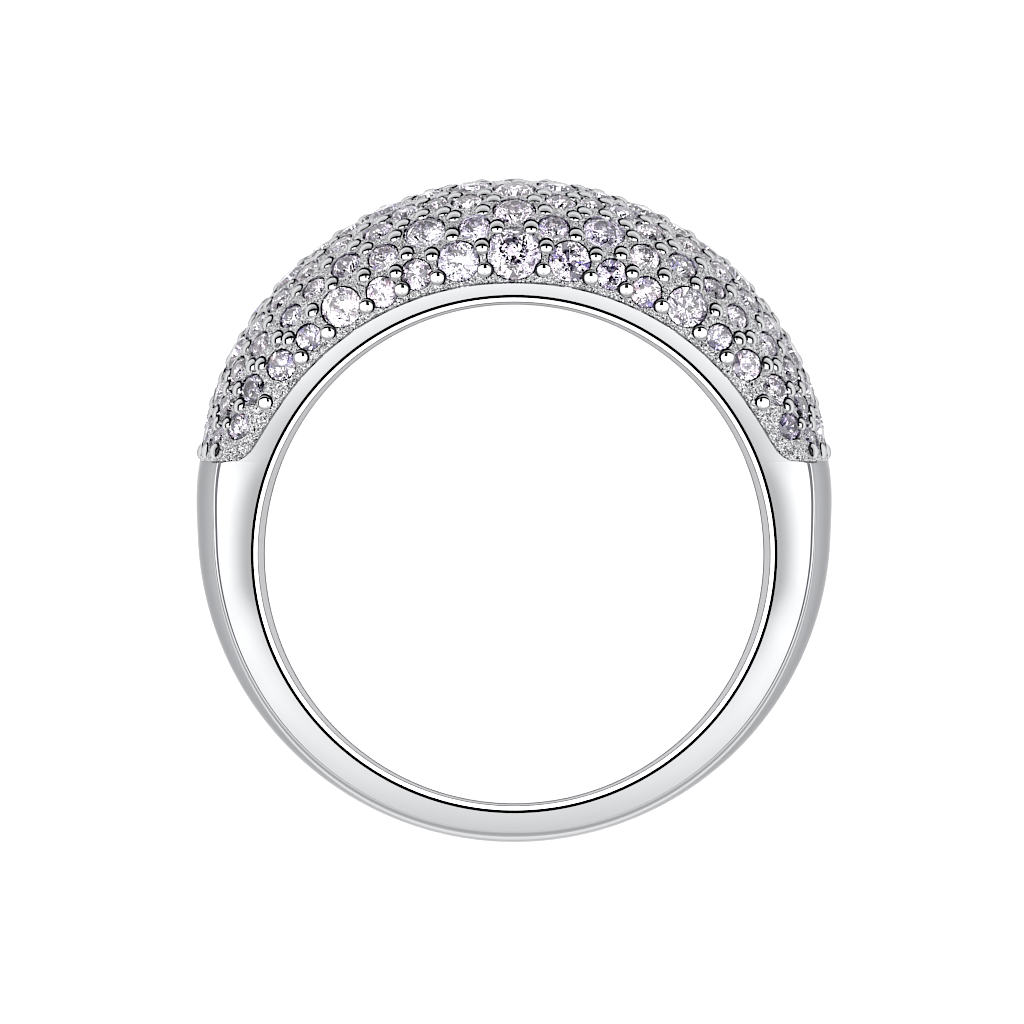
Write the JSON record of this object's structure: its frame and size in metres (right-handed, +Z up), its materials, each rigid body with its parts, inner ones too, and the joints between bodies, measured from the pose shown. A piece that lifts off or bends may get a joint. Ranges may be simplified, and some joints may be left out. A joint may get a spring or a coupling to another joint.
{
  "type": "dome ring",
  "caption": "Finger ring: a tapered polished band that swells into a dome paved with small round faceted stones between two plain rails.",
  "frame": {"origin": "on the surface that the ring lies on, under the middle of the ring's bounding box", "axes": "+Y runs from the foot of the ring towards the crest of its dome, +X is across the finger, +Z is up; the finger's axis leans 9.07 degrees from +Z towards -Y, because the ring is wider at its dome than at its foot"},
  "size_m": [0.022, 0.023, 0.0092],
  "materials": {
    "polished_silver": "mirror polished white metal, with a fine matt texture between the stones",
    "pale_stone": "clear brilliant-cut stone with a pale pink and lavender tint"
  },
  "bodies": {
    "root": {"band": "polished_silver", "pave_stones_front": "pale_stone", "pave_stones_back": "pale_stone"}
  },
  "joints": []
}
